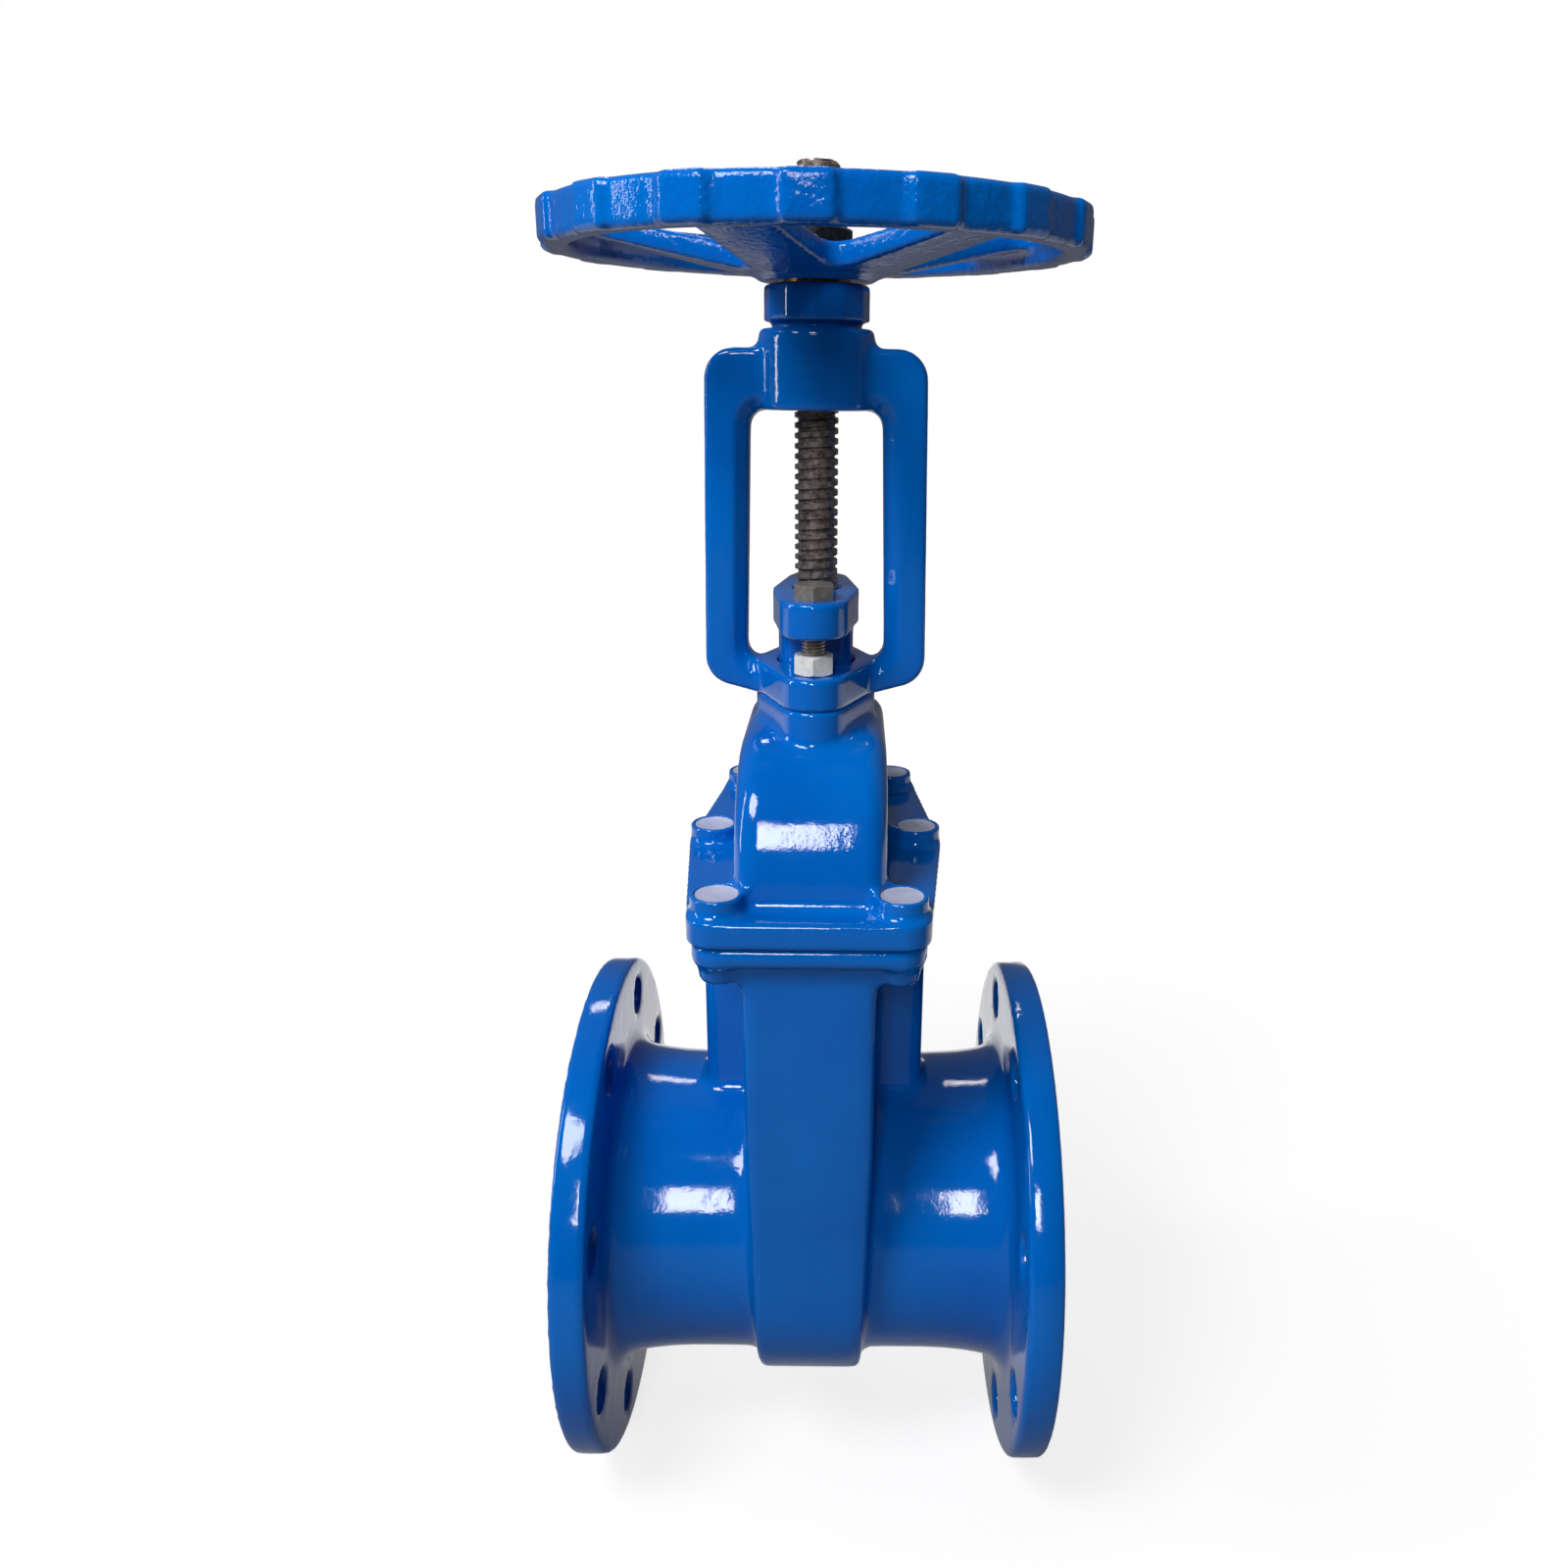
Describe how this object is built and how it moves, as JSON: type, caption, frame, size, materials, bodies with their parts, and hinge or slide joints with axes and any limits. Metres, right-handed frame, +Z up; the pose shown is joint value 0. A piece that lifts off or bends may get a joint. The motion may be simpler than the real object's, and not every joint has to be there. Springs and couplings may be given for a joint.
{
  "type": "resilient wedge gate valve",
  "caption": "Flanged rising-stem gate valve: hollow body, arched bonnet, open yoke and a lobed handwheel whose nut lifts a rubber-covered wedge out of the bore.",
  "frame": {"origin": "centre of the inlet bolt circle, on the bore axis and on the flange face behind its raised face", "axes": "+X along the bore from inlet to outlet, +Z up along the stem, +Y across the bore"},
  "size_m": [0.267, 0.285, 0.7164],
  "materials": {
    "blue_paint": "glossy epoxy coating on ductile iron, light orange peel",
    "gasket_rubber": "matt",
    "screw_steel": "plain",
    "seal_wax": "hot-melt wax, pale and slightly cloudy",
    "packing_rubber": "matt",
    "bolt_steel": "zinc plated, dulled",
    "stem_steel": "machined, lightly oiled",
    "wedge_rubber": "moulded, satin",
    "shoe_plastic": "moulded",
    "nut_brass": "machined",
    "black_steel": "black oxide"
  },
  "bodies": {
    "valve": {"valve_body": "blue_paint", "bonnet": "blue_paint", "yoke": "blue_paint", "gland": "blue_paint", "nut_retainer": "blue_paint", "bonnet_gasket": "gasket_rubber", "bonnet_screw_front_left": "screw_steel", "bonnet_screw_front_right": "screw_steel", "bonnet_screw_middle_left": "screw_steel", "bonnet_screw_middle_right": "screw_steel", "bonnet_screw_rear_left": "screw_steel", "bonnet_screw_rear_right": "screw_steel", "seal_plug_front_left": "seal_wax", "seal_plug_front_right": "seal_wax", "seal_plug_middle_left": "seal_wax", "seal_plug_middle_right": "seal_wax", "seal_plug_rear_left": "seal_wax", "seal_plug_rear_right": "seal_wax", "stem_packing": "packing_rubber", "gland_bolt_front": "bolt_steel", "gland_bolt_rear": "bolt_steel"},
    "wheel": {"handwheel": "blue_paint", "stem_nut": "nut_brass", "wheel_washer": "black_steel", "wheel_lock_nut": "black_steel"},
    "gate": {"stem": "stem_steel", "wedge": "wedge_rubber", "guide_shoe_front": "shoe_plastic", "guide_shoe_rear": "shoe_plastic"}
  },
  "joints": [
    {"name": "handwheel_turn", "type": "hinge", "parent": "valve", "child": "wheel", "pos_m": [0.1305, 0, 0.52], "axis": [0, 0, 1], "range_deg": [0, 11160]},
    {"name": "stem_lift", "type": "slide", "parent": "valve", "child": "gate", "axis": [0, 0, 1], "range_m": [0, 0.155]}
  ],
  "couplings": [
    {"joint": "stem_lift", "follows": "handwheel_turn", "m_per_rad": 0.00079577}
  ]
}
